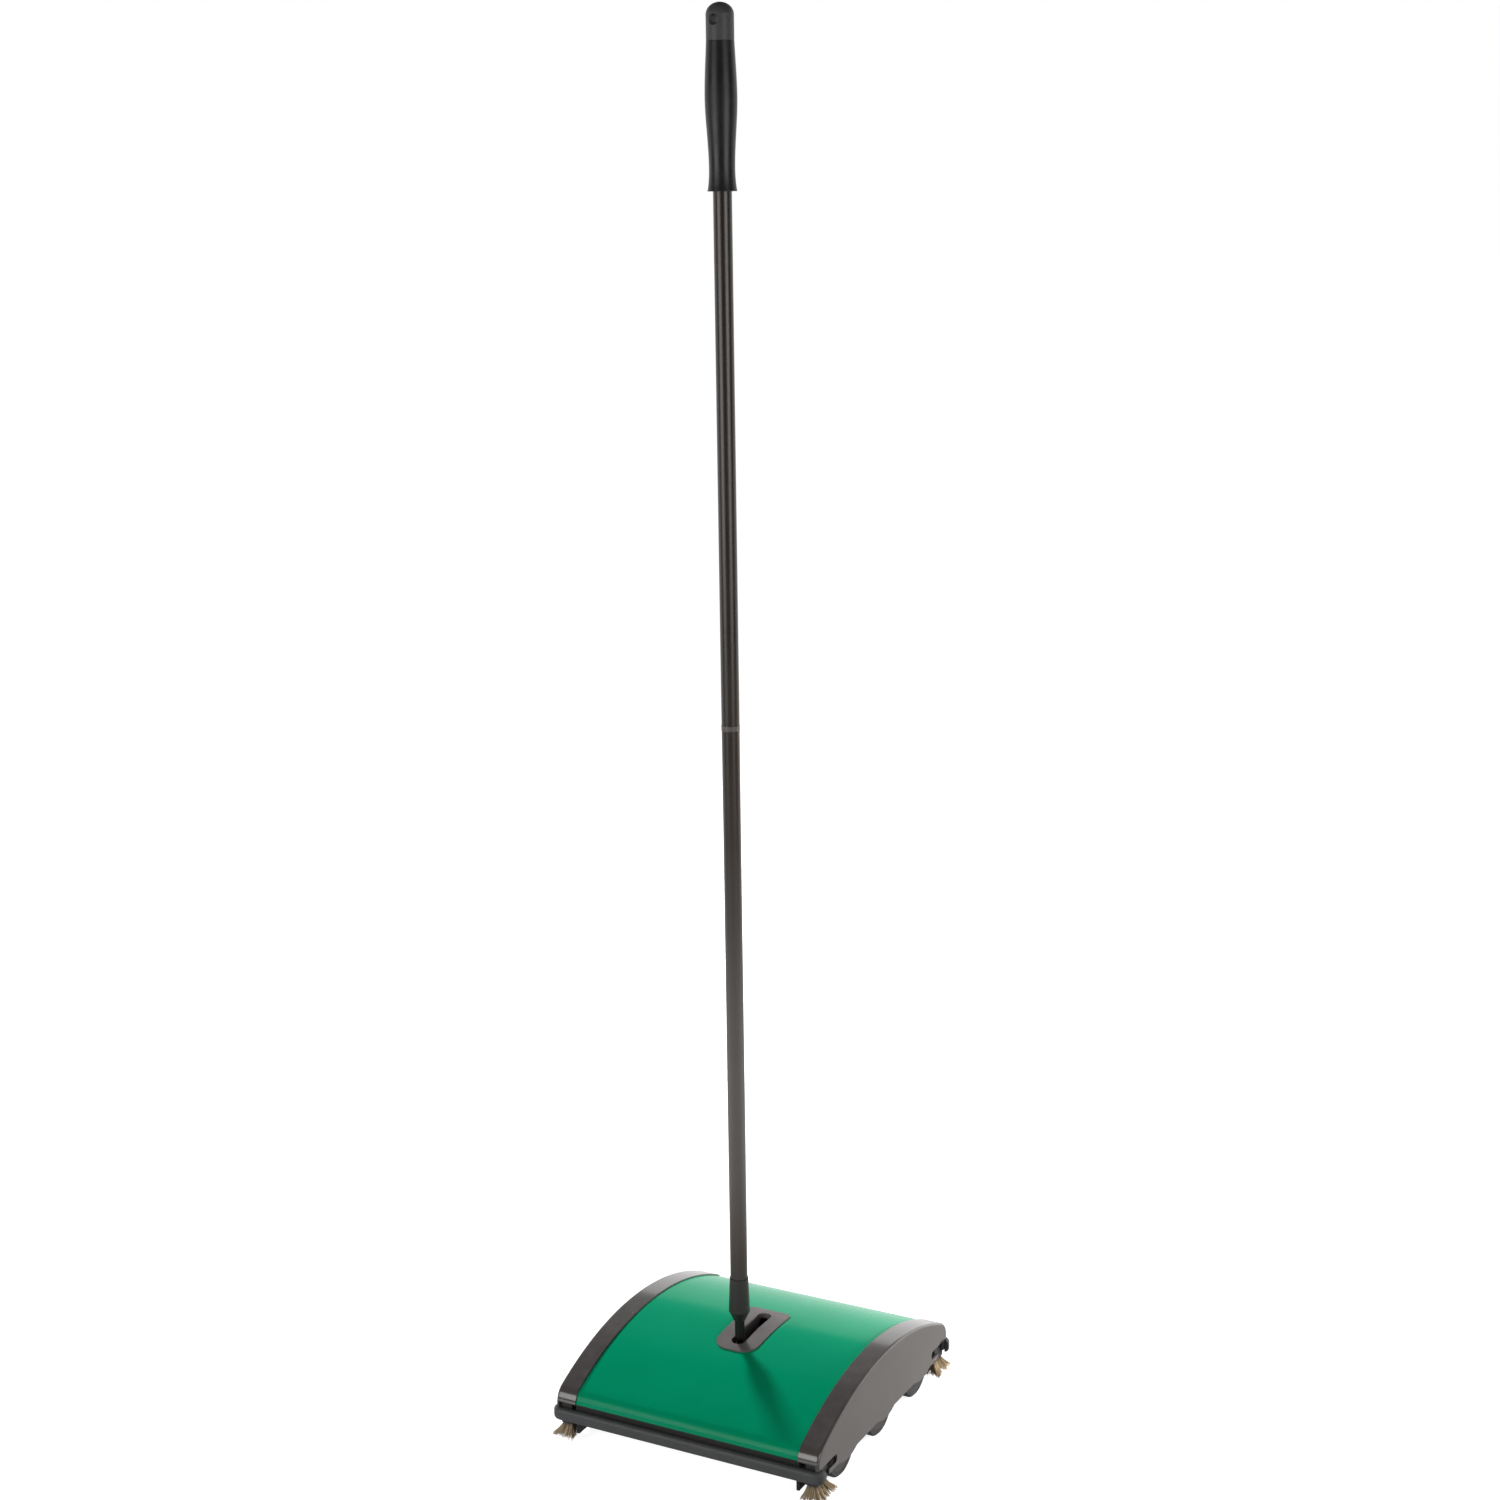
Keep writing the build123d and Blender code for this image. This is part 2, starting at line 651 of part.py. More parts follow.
def make_grip():
    """Waisted hand grip over the end of the upper tube."""
    swell = Spline(
        (grip_flare_radius, grip_foot), (grip_waist_radius, grip_foot + grip_waist_height),
        (grip_belly_radius, grip_foot + grip_belly_height), (grip_top_radius, cap_foot),
        tangents=((-0.2, 1), (-0.05, 1)),
    )
    inside = Polyline(
        (grip_top_radius, cap_foot), (tube_radius, cap_foot),
        (tube_radius, grip_foot), (grip_flare_radius, grip_foot),
    )
    grip = revolve(Plane.XZ * make_face(swell.edges() + inside.edges()), Axis.Z)
    return Pos(0, -stem_offset, 0) * grip


def make_grip_cap():
    """Domed end of the grip with the hanging hole, plugged into the tube."""
    spigot = tube_bore - running_gap
    shoulder = overall_height - dome_height
    dome = EllipticalCenterArc((0, shoulder), grip_top_radius, dome_height, arc_size=90)
    rest = Polyline(
        (0, overall_height), (0, cap_foot - grip_spigot), (spigot, cap_foot - grip_spigot),
        (spigot, cap_foot), (grip_top_radius, cap_foot), (grip_top_radius, shoulder),
    )
    cap = revolve(Plane.XZ * make_face(dome.edges() + rest.edges()), Axis.Z)
    hole = Pos(0, 0, overall_height - hang_drop) * Rot(90, 0, 0) * Cylinder(hang_radius, 4 * grip_top_radius)
    return Pos(0, -stem_offset, 0) * (cap - hole)


def left_of(shape):
    """The same piece on the left side."""
    return mirror(shape, about=Plane.YZ)


def rear_of(shape):
    """The same piece at the rear."""
    return mirror(shape, about=Plane.XZ)


def make_group(solids):
    """Several separate solids under one name."""
    return Compound(children=list(solids))


parts = {
    "top_cover": make_cover(),
    "slot_plate": make_slot_plate(),
    "pivot_pin": make_pivot_pin(),
    "pivot_clip": make_pivot_clip(),
    "friction_washers": make_group(make_friction_washers()),
    "cap_screws": make_group(make_cap_screws()),
    "wheel_axles": make_group(make_axles()),
    "roll_bushes": make_group(make_bushes()),
    "pan_hinge_rods": make_group(make_hinge_rods()),
    "handle_stem": make_stem(),
    "stem_ferrule": make_ferrule(),
    "lower_tube": make_tube(ferrule_foot + stem_socket, joint_height - joint_ring / 2),
    "tube_joint": make_joint(),
    "upper_tube": make_tube(joint_height + joint_ring / 2, cap_foot - grip_spigot / 2),
    "hand_grip": make_grip(),
    "grip_cap": make_grip_cap(),
}

end_cap = make_end_cap()
side_plate = make_side_plate()
holder = make_holder()
corner_brush = make_corner_brush()
for side, sign in sides.items():
    parts[f"{side}_end_cap"] = end_cap if sign > 0 else left_of(end_cap)
    parts[f"{side}_side_plate"] = side_plate if sign > 0 else left_of(side_plate)
    parts[f"front_{side}_brush_holder"] = holder if sign > 0 else left_of(holder)
    parts[f"rear_{side}_brush_holder"] = rear_of(parts[f"front_{side}_brush_holder"])
    parts[f"front_{side}_corner_brush"] = corner_brush if sign > 0 else left_of(corner_brush)
    parts[f"rear_{side}_corner_brush"] = rear_of(parts[f"front_{side}_corner_brush"])
    for row, place in wheel_rows.items():
        tyre = make_tyre(place)
        wheel = make_wheel(place)
        parts[f"{row}_{side}_tyre"] = tyre if sign > 0 else left_of(tyre)
        parts[f"{row}_{side}_wheel"] = wheel if sign > 0 else left_of(wheel)

front_pieces = {
    "bumper": make_bumper(),
    "lip_rail": make_lip_rail(),
    "roll_shaft": make_roll_shaft(),
    "roll_core": make_roll_core(),
    "roll_bristles": make_roll_bristles(),
    "roll_drums": make_group(make_roll_drums()),
    "dust_pan": make_pan(),
}
for name, piece in front_pieces.items():
    parts[f"front_{name}"] = piece
    parts[f"rear_{name}"] = rear_of(piece)

os.makedirs("parts", exist_ok=True)
for name, piece in parts.items():
    export_step(piece, f"parts/{name}.step")
print(len(parts), "nodes; crown", round(crown, 2), "half width", half_width, "half depth", half_depth)
print("drum radius", round(drum_radius, 2), "slot", round(slot_front, 1), round(slot_rear, 1))
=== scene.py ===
import json
import math
import bpy
import numpy as np
from mathutils import Matrix, Vector


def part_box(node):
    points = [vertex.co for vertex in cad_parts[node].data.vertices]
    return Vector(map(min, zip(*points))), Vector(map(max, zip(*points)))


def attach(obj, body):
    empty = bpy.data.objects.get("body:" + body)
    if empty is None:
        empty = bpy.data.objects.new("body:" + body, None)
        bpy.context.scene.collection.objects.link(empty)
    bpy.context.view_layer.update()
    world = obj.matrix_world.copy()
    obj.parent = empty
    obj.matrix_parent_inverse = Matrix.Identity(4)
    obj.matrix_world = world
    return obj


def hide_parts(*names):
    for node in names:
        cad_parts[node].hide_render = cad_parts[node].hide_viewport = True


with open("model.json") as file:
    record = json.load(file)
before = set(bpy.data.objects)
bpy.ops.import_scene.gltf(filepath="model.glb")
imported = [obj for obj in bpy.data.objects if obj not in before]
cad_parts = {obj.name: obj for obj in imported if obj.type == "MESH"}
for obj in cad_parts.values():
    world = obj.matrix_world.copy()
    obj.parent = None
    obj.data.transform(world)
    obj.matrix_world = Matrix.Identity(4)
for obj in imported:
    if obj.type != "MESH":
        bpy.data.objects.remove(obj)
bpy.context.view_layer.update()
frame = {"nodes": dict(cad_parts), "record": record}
dice = np.random.default_rng(11)
caseCorners = [(row, side) for row in ("front", "rear") for side in ("left", "right")]
print("frame loaded:", len(frame["nodes"]), "nodes")


# evenly spread angles of one whole turn, the last one a step short of the first
def wholeTurn(steps):
    return np.linspace(0, 2 * math.pi, steps, endpoint=False)


# x, y and z, each a grid, a row, a column or one number, joined into points
def gridPoints(x, y, z):
    return np.stack(np.broadcast_arrays(x, y, z), axis=-1)


# quads of a rows x columns grid of points; wrapped columns join the last one to the first
def gridFaces(rows, columns, wrapColumns=False):
    r = np.arange(rows - 1)
    c = np.arange(columns if wrapColumns else columns - 1)
    r, c = np.meshgrid(r, c, indexing="ij")
    across = (c + 1) % columns
    corners = [r * columns + c, r * columns + across, (r + 1) * columns + across, (r + 1) * columns + c]
    return np.stack(corners, axis=-1).reshape(-1, 4)


# puts worked-out points and faces into a mesh object at the origin
def addMesh(name, points, faces, material):
    mesh = bpy.data.meshes.new(name)
    mesh.from_pydata(points.reshape(-1, 3).tolist(), [], [list(face) for face in faces])
    mesh.update()
    mesh.materials.append(material)
    meshObject = bpy.data.objects.new(name, mesh)
    bpy.context.scene.collection.objects.link(meshObject)
    return meshObject


# a smooth mesh that rides on a body and may stand for a CAD node
def addPiece(name, points, faces, material, body, replaced=None):
    piece = addMesh(name, points, faces, material)
    piece.data.shade_smooth()
    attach(piece, body)
    if replaced is not None:
        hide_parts(replaced)
    return piece


# one value per point, which the material reads by its name
def addAttribute(piece, name, values):
    layer = piece.data.attributes.new(name, "FLOAT", "POINT")
    layer.data.foreach_set("value", values.astype(np.float32).ravel())


# a number is set on the socket itself, another node's output is wired to it
def feed(tree, value, socket):
    if isinstance(value, bpy.types.NodeSocket):
        tree.links.new(value, socket)
    else:
        socket.default_value = value


# one step of arithmetic on numbers or outputs
def joined(tree, operation, first, second):
    node = tree.nodes.new("ShaderNodeMath")
    node.operation = operation
    feed(tree, first, node.inputs[0])
    feed(tree, second, node.inputs[1])
    return node.outputs[0]


# value carried from one span onto another and held at its ends
def spanned(tree, value, fromSpan, toSpan=(0.0, 1.0), curve="LINEAR"):
    node = tree.nodes.new("ShaderNodeMapRange")
    node.interpolation_type = curve
    for label, number in zip(("From Min", "From Max", "To Min", "To Max"), (*fromSpan, *toSpan)):
        node.inputs[label].default_value = number
    feed(tree, value, node.inputs["Value"])
    return node.outputs["Result"]


# the same with a soft start and stop
def eased(tree, value, fromSpan, toSpan=(0.0, 1.0)):
    return spanned(tree, value, fromSpan, toSpan, "SMOOTHSTEP")


# number that moves from start to end by a share
def blended(tree, share, start, end):
    mix = tree.nodes.new("ShaderNodeMix")
    for index, value in ((0, share), (2, start), (3, end)):
        feed(tree, value, mix.inputs[index])
    return mix.outputs[0]


# place with each axis scaled; a small scale draws a pattern out along that axis
def squeezed(tree, place, scale):
    mapping = tree.nodes.new("ShaderNodeMapping")
    mapping.inputs["Scale"].default_value = scale
    feed(tree, place, mapping.inputs["Vector"])
    return mapping.outputs["Vector"]


def scaledNoise(tree, place, scale, detail=2.0):
    noise = tree.nodes.new("ShaderNodeTexNoise")
    noise.inputs["Detail"].default_value = detail
    feed(tree, place, noise.inputs["Vector"])
    feed(tree, scale, noise.inputs["Scale"])
    return noise.outputs["Fac"]


# noise at a given feature size: the scale is one over the size
def sizedNoise(tree, place, size, detail=2.0):
    return scaledNoise(tree, place, joined(tree, "DIVIDE", 1.0, size), detail)


# a material with its Principled shader and quick ways to dress it
class Finish:
    def __init__(self, name, color, roughness, metallic=0.0, coat=0.0, specular=0.5):
        self.material = bpy.data.materials.new(name)
        self.material.use_nodes = True
        self.tree = self.material.node_tree
        self.shader = self.tree.nodes["Principled BSDF"]
        self.color = color
        self.roughness = roughness
        self.place = self.add("ShaderNodeTexCoord").outputs["Object"]
        settings = {"Base Color": (*color, 1), "Roughness": roughness, "Metallic": metallic,
                    "Coat Weight": coat, "Coat Roughness": 0.1, "Specular IOR Level": specular}
        for label, value in settings.items():
            self.shader.inputs[label].default_value = value

    def add(self, kind, **settings):
        node = self.tree.nodes.new(kind)
        for key, value in settings.items():
            setattr(node, key, value)
        return node

    def wire(self, source, target):
        self.tree.links.new(source, target)

    # places a shared group with its own values
    def useGroup(self, group, values):
        node = self.add("ShaderNodeGroup", node_tree=group)
        self.wire(self.place, node.inputs["Place"])
        for label, value in values.items():
            node.inputs[label].default_value = value
        return node.outputs

    # colour moves by a mask to another one, from the base or from what an earlier blend gave
    def blendColor(self, mask, other, source=None):
        mix = self.add("ShaderNodeMix", data_type="RGBA")
        start = (*self.color, 1) if source is None else source
        for index, value in ((0, mask), (6, start), (7, (*other, 1))):
            feed(self.tree, value, mix.inputs[index])
        self.wire(mix.outputs[2], self.shader.inputs["Base Color"])
        return mix.outputs[2]

    # roughness spreads about its base value by a 0 to 1 mask
    def spreadRoughness(self, mask, spread):
        ends = (self.roughness - spread / 2, self.roughness + spread / 2)
        self.wire(spanned(self.tree, mask, (0.0, 1.0), ends), self.shader.inputs["Roughness"])

    # relief in metres, on top of edges softened by edgeRound
    def relief(self, height, distance, edgeRound=0.0):
        bump = self.add("ShaderNodeBump")
        bump.inputs["Distance"].default_value = distance
        self.wire(height, bump.inputs["Height"])
        if edgeRound > 0:
            soft = self.add("ShaderNodeBevel", samples=4)
            soft.inputs["Radius"].default_value = edgeRound
            self.wire(soft.outputs["Normal"], bump.inputs["Normal"])
        self.wire(bump.outputs["Normal"], self.shader.inputs["Normal"])


# opens a node group with a place, named numbers with their start values, and named outputs
def openGroup(name, numbers, outputs):
    group = bpy.data.node_groups.new(name, "ShaderNodeTree")
    group.interface.new_socket("Place", in_out="INPUT", socket_type="NodeSocketVector")
    for label, value in numbers.items():
        socket = group.interface.new_socket(label, in_out="INPUT", socket_type="NodeSocketFloat")
        socket.default_value = value
    for label in outputs:
        group.interface.new_socket(label, in_out="OUTPUT", socket_type="NodeSocketFloat")
    return group, group.nodes.new("NodeGroupInput").outputs, group.nodes.new("NodeGroupOutput").inputs


# fine relief of a moulded or sprayed skin, and the slow drift of its shade
skinSet = {"grainSize": 0.0004, "cloudSize": 0.03, "cloudDetail": 3.0, "cloudSpan": (0.3, 0.7)}


def makeSkinGroup(look):
    numbers = {"Grain Size": look["grainSize"], "Cloud Size": look["cloudSize"]}
    group, given, out = openGroup("skin grain", numbers, ["Height", "Cloud"])
    grain = sizedNoise(group, given["Place"], given["Grain Size"])
    cloud = sizedNoise(group, given["Place"], given["Cloud Size"], look["cloudDetail"])
    group.links.new(grain, out["Height"])
    group.links.new(spanned(group, cloud, look["cloudSpan"]), out["Cloud"])
    return group


# thin rubbed marks that run along Y, kept where a second noise allows them
scuffSet = {"size": 0.002, "amount": 0.3, "squeeze": (1.0, 0.06, 1.0), "lineDetail": 4.0,
            "lineSpan": (0.6, 0.75), "patchScale": 28.0, "patchSpan": (0.5, 0.65)}


def makeScuffGroup(look):
    numbers = {"Size": look["size"], "Amount": look["amount"]}
    group, given, out = openGroup("rub marks", numbers, ["Mask"])
    drawnOut = squeezed(group, given["Place"], look["squeeze"])
    lines = spanned(group, sizedNoise(group, drawnOut, given["Size"], look["lineDetail"]), look["lineSpan"])
    patches = spanned(group, scaledNoise(group, given["Place"], look["patchScale"]), look["patchSpan"])
    kept = joined(group, "MULTIPLY", lines, patches)
    group.links.new(joined(group, "MULTIPLY", kept, given["Amount"]), out["Mask"])
    return group


# dust that settles on faces that look up, thicker in patches
dustSet = {"amount": 0.2, "upSpan": (0.1, 0.9), "patchScale": 90.0, "patchDetail": 5.0,
           "patchSpan": (0.35, 0.75)}


def makeDustGroup(look):
    group, given, out = openGroup("settled dust", {"Amount": look["amount"]}, ["Mask"])
    axes = group.nodes.new("ShaderNodeSeparateXYZ")
    group.links.new(group.nodes.new("ShaderNodeTexCoord").outputs["Normal"], axes.inputs[0])
    level = spanned(group, axes.outputs["Z"], look["upSpan"])
    noise = scaledNoise(group, given["Place"], look["patchScale"], look["patchDetail"])
    kept = joined(group, "MULTIPLY", level, spanned(group, noise, look["patchSpan"]))
    group.links.new(joined(group, "MULTIPLY", kept, given["Amount"]), out["Mask"])
    return group


skinGroup = makeSkinGroup(skinSet)
scuffGroup = makeScuffGroup(scuffSet)
dustGroup = makeDustGroup(dustSet)
print("shared effects ready")


# sprayed and baked paint on sheet or tube: faint orange peel, slow drift of shade, a few rub marks
enamelSet = {"cloud": 0.05, "spread": 0.04}
enamelLooks = {
    "cover_green": {"color": (0.0, 0.2, 0.093), "drift": (0.0, 0.186, 0.084), "rub": (0.015, 0.255, 0.135),
                    "roughness": 0.15, "gloss": 0.11, "peel": 0.0025, "depth": 0.000002, "rubs": 0.12},
    "tube_black": {"color": (0.018, 0.0115, 0.0075), "drift": (0.021, 0.0145, 0.0095),
                   "rub": (0.045, 0.038, 0.032), "roughness": 0.3, "gloss": 0.75, "peel": 0.0009,
                   "depth": 0.000001, "rubs": 0.2},
    "side_plate_black": {"color": (0.012, 0.012, 0.012), "drift": (0.018, 0.017, 0.016),
                         "rub": (0.08, 0.075, 0.07), "roughness": 0.42, "gloss": 0.3, "peel": 0.0012,
                         "depth": 0.000006, "rubs": 0.5},
}


def enamelFinish(name, look):
    finish = Finish(name, look["color"], look["roughness"], specular=look["gloss"])
    skin = finish.useGroup(skinGroup, {"Grain Size": look["peel"], "Cloud Size": enamelSet["cloud"]})
    rub = finish.useGroup(scuffGroup, {"Amount": look["rubs"]})
    drifted = finish.blendColor(skin["Cloud"], look["drift"])
    finish.blendColor(rub["Mask"], look["rub"], drifted)
    finish.spreadRoughness(skin["Cloud"], enamelSet["spread"])
    finish.relief(skin["Height"], look["depth"])
    return finish.material


# moulded plastic: fine spark-eroded grain, softened edges, a little dust on top; a shine is a clear skin
mouldedSet = {"cloud": 0.04, "spread": 0.1, "dustColor": (0.34, 0.31, 0.28)}
mouldedLooks = {
    "cap_grey": {"color": (0.052, 0.0465, 0.0435), "drift": (0.045, 0.04, 0.0375), "roughness": 0.2,
                 "grain": 0.0005, "depth": 0.000006, "edge": 0.0005, "dust": 0.05, "shine": 1.0},
    "plate_grey": {"color": (0.095, 0.087, 0.083), "drift": (0.084, 0.077, 0.073), "roughness": 0.42,
                   "grain": 0.0005, "depth": 0.00003, "edge": 0.0004, "dust": 0.1},
    "holder_black": {"color": (0.02, 0.02, 0.021), "drift": (0.028, 0.027, 0.026), "roughness": 0.5,
                     "grain": 0.0006, "depth": 0.00003, "edge": 0.0004, "dust": 0.2},
    "ferrule_black": {"color": (0.0095, 0.0088, 0.008), "drift": (0.013, 0.012, 0.011), "roughness": 0.36,
                      "grain": 0.0006, "depth": 0.00002, "edge": 0.0005, "dust": 0.05},
    "ring_grey": {"color": (0.1, 0.092, 0.082), "drift": (0.08, 0.074, 0.066), "roughness": 0.35,
                  "grain": 0.0006, "depth": 0.00002, "edge": 0.0003, "dust": 0.05},
    "grip_cap_grey": {"color": (0.066, 0.066, 0.066), "drift": (0.056, 0.056, 0.056), "roughness": 0.45,
                      "grain": 0.0005, "depth": 0.00003, "edge": 0.0005, "dust": 0.1},
    "nylon": {"color": (0.62, 0.6, 0.54), "drift": (0.55, 0.52, 0.45), "roughness": 0.4,
              "grain": 0.0008, "depth": 0.00002, "edge": 0.0002, "dust": 0.1},
    "wheel_black": {"color": (0.024, 0.024, 0.025), "drift": (0.034, 0.033, 0.032), "roughness": 0.45,
                    "grain": 0.0006, "depth": 0.00003, "edge": 0.0004, "dust": 0.25},
}


def mouldedFinish(name, look):
    finish = Finish(name, look["color"], look["roughness"], coat=look.get("shine", 0.0))
    skin = finish.useGroup(skinGroup, {"Grain Size": look["grain"], "Cloud Size": mouldedSet["cloud"]})
    dust = finish.useGroup(dustGroup, {"Amount": look["dust"]})
    drifted = finish.blendColor(skin["Cloud"], look["drift"])
    finish.blendColor(dust["Mask"], mouldedSet["dustColor"], drifted)
    finish.spreadRoughness(skin["Height"], mouldedSet["spread"])
    finish.relief(skin["Height"], look["depth"], look["edge"])
    return finish.material


# rubber and soft vinyl: dull, with a pale bloom in patches and rub marks where it is touched
rubberSet = {"cloud": 0.025, "spread": 0.12, "rubSize": 0.0012, "rubColor": (0.12, 0.115, 0.11)}
rubberLooks = {
    "bumper_grey": {"color": (0.042, 0.0435, 0.0445), "bloom": (0.051, 0.052, 0.053), "roughness": 0.5,
                    "grain": 0.0008, "depth": 0.00004, "edge": 0.0005, "rubs": 0.4},
    "tyre_black": {"color": (0.018, 0.018, 0.018), "bloom": (0.045, 0.042, 0.04), "roughness": 0.66,
                   "grain": 0.0007, "depth": 0.00008, "edge": 0.0004, "rubs": 0.6},
    "drum_rubber": {"color": (0.05, 0.03, 0.022), "bloom": (0.09, 0.06, 0.048), "roughness": 0.7,
                    "grain": 0.0007, "depth": 0.00008, "edge": 0.0003, "rubs": 0.5},
    "grip_black": {"color": (0.008, 0.0072, 0.0075), "bloom": (0.012, 0.011, 0.0115), "roughness": 0.36,
                   "grain": 0.0006, "depth": 0.00002, "edge": 0.0006, "rubs": 0.3},
}


def rubberFinish(name, look):
    finish = Finish(name, look["color"], look["roughness"])
    skin = finish.useGroup(skinGroup, {"Grain Size": look["grain"], "Cloud Size": rubberSet["cloud"]})
    rub = finish.useGroup(scuffGroup, {"Size": rubberSet["rubSize"], "Amount": look["rubs"]})
    bloomed = finish.blendColor(skin["Cloud"], look["bloom"])
    finish.blendColor(rub["Mask"], rubberSet["rubColor"], bloomed)
    finish.spreadRoughness(skin["Cloud"], rubberSet["spread"])
    finish.relief(skin["Height"], look["depth"], look["edge"])
    return finish.material


# drawn or rolled metal: fine lines along X or Z, with duller patches
metalSet = {"grain": 0.0005, "cloud": 0.012, "spread": 0.25, "depth": 0.00001, "edge": 0.0002}
metalLooks = {
    "steel": {"color": (0.56, 0.55, 0.53), "dull": (0.34, 0.32, 0.3), "roughness": 0.28,
              "squeeze": (0.04, 1, 1)},
    "stem_steel": {"color": (0.05, 0.045, 0.042), "dull": (0.035, 0.03, 0.028), "roughness": 0.3,
                   "squeeze": (1, 1, 0.04)},
    "pan_grey": {"color": (0.36, 0.37, 0.38), "dull": (0.24, 0.25, 0.26), "roughness": 0.42,
                 "squeeze": (0.3, 1, 1)},
}


def metalFinish(name, look):
    finish = Finish(name, look["color"], look["roughness"], metallic=1.0)
    finish.place = squeezed(finish.tree, finish.place, look["squeeze"])
    skin = finish.useGroup(skinGroup, {"Grain Size": metalSet["grain"], "Cloud Size": metalSet["cloud"]})
    finish.blendColor(skin["Cloud"], look["dull"])
    finish.spreadRoughness(skin["Height"], metalSet["spread"])
    finish.relief(skin["Height"], metalSet["depth"], metalSet["edge"])
    return finish.material


# bristle: each strand has its own tone, and a painted shade darkens it towards its root, where the strands
# crowd together
bristleSet = {"grain": 0.0003, "cloud": 0.004, "spread": 0.2, "depth": 0.00002}
# the root colour is painted shade, the shade that falls among the crowded roots
bristleLooks = {
    "bristle_tan": {"color": (0.46, 0.36, 0.23), "dark": (0.2, 0.145, 0.085), "root": (0.09, 0.066, 0.042),
                    "roughness": 0.5},
    "roll_bristle": {"color": (0.07, 0.05, 0.034), "dark": (0.018, 0.014, 0.011),
                     "root": (0.01, 0.008, 0.007), "roughness": 0.45},
}


def bristleFinish(name, look):
    finish = Finish(name, look["color"], look["roughness"])
    tone = finish.add("ShaderNodeAttribute", attribute_name="tone").outputs["Fac"]
    shade = finish.add("ShaderNodeAttribute", attribute_name="shade").outputs["Fac"]
    toned = finish.blendColor(tone, look["dark"])
    # painted shade: the strand turns to the root colour towards its root
    finish.blendColor(shade, look["root"], toned)
    skin = finish.useGroup(skinGroup, {"Grain Size": bristleSet["grain"], "Cloud Size": bristleSet["cloud"]})
    finish.spreadRoughness(skin["Cloud"], bristleSet["spread"])
    finish.relief(skin["Height"], bristleSet["depth"])
    return finish.material


# turned beech: rings about X, drawn out into long grain and made wavy by the texture's own noise
woodLooks = {
    "core_wood": {"color": (0.42, 0.25, 0.12), "dark": (0.27, 0.145, 0.065), "roughness": 0.55,
                  "squeeze": (0.06, 1, 1), "rings": 180.0, "waver": 5.0, "spread": 0.15, "depth": 0.00003},
}


def woodFinish(name, look):
    finish = Finish(name, look["color"], look["roughness"])
    rings = finish.add("ShaderNodeTexWave", wave_type="RINGS", rings_direction="X")
    rings.inputs["Scale"].default_value = look["rings"]
    rings.inputs["Distortion"].default_value = look["waver"]
    finish.wire(squeezed(finish.tree, finish.place, look["squeeze"]), rings.inputs["Vector"])
    finish.blendColor(rings.outputs["Fac"], look["dark"])
    finish.spreadRoughness(rings.outputs["Fac"], look["spread"])
    finish.relief(rings.outputs["Fac"], look["depth"])
    return finish.material


finishes = {}
for makeFinish, looks in ((enamelFinish, enamelLooks), (mouldedFinish, mouldedLooks),
                          (rubberFinish, rubberLooks), (metalFinish, metalLooks),
                          (bristleFinish, bristleLooks), (woodFinish, woodLooks)):
    finishes.update({slot: makeFinish(slot, look) for slot, look in looks.items()})
for subpart in frame["record"]["subparts"]:
    for place in frame["nodes"][subpart["node"]].material_slots:
        place.material = finishes[subpart["material_slot"]]
print("finishes made:", len(finishes))


# Cover: an arch of one radius that bends down into a lip at each end, carried along X.
# Rows follow the arch from the front lip to the rear one. Columns spread from the middle to the sides,
# and where a row crosses the opening for the slot plate they start at the opening's edge instead.
coverSet = {"halfDepth": 0.124, "archRadius": 0.265, "bend": 0.014, "bendRows": 20, "row": 0.0011,
            "innerColumns": 4, "outerColumns": 14, "lap": 0.002, "frontRound": 0.013, "rearRound": 0.004,
            "slack": 1e-9, "sheet": 0.0008, "edge": 0.0002, "edgeSteps": 2, "edgeAngle": 60.0}


# y and z of the rows: z is the arch's centre plus the root of radius squared less y squared, and each bend is
# a circle that meets the arch where both have the same tilt
def coverRows(look, crown, foot, holeFront, holeRear):
    half, radius, bend = look["halfDepth"], look["archRadius"], look["bend"]
    middle = crown - radius
    tilt = math.asin((half - bend) / (radius - bend))  # where the arch turns into the bend
    bendHeight = middle + (radius - bend) * math.cos(tilt)
    turn = np.linspace(math.acos((foot - bendHeight) / bend), tilt, look["bendRows"])[:-1]
    archHalf = radius * math.sin(tilt)
    stops = [-archHalf, holeFront, holeRear, archHalf]
    counts = [round((end - start) / look["row"]) for start, end in zip(stops, stops[1:])]
    spans = [np.linspace(*ends, count + 1)[:-1] for *ends, count in zip(stops, stops[1:], counts)]
    archY = np.concatenate([*spans, stops[-1:]])
    archZ = middle + np.sqrt(radius ** 2 - archY ** 2)
    bendY = -(half - bend) - bend * np.sin(turn)
    bendZ = bendHeight + bend * np.cos(turn)
    return np.concatenate([bendY, archY, -bendY[::-1]]), np.concatenate([bendZ, archZ, bendZ[::-1]])


# half width of the opening along y: its full half less the quarter circles that round its corners
def openingHalf(look, y, holeSide, holeFront, holeRear):
    frontRound = look["frontRound"] - look["lap"]
    rearRound = look["rearRound"] - look["lap"]
    frontPart = np.clip((holeFront + frontRound - y) / frontRound, 0, 1)
    rearPart = np.clip((y - holeRear + rearRound) / rearRound, 0, 1)
    drawnIn = frontRound * (1 - np.sqrt(1 - frontPart ** 2)) + rearRound * (1 - np.sqrt(1 - rearPart ** 2))
    return holeSide - drawnIn


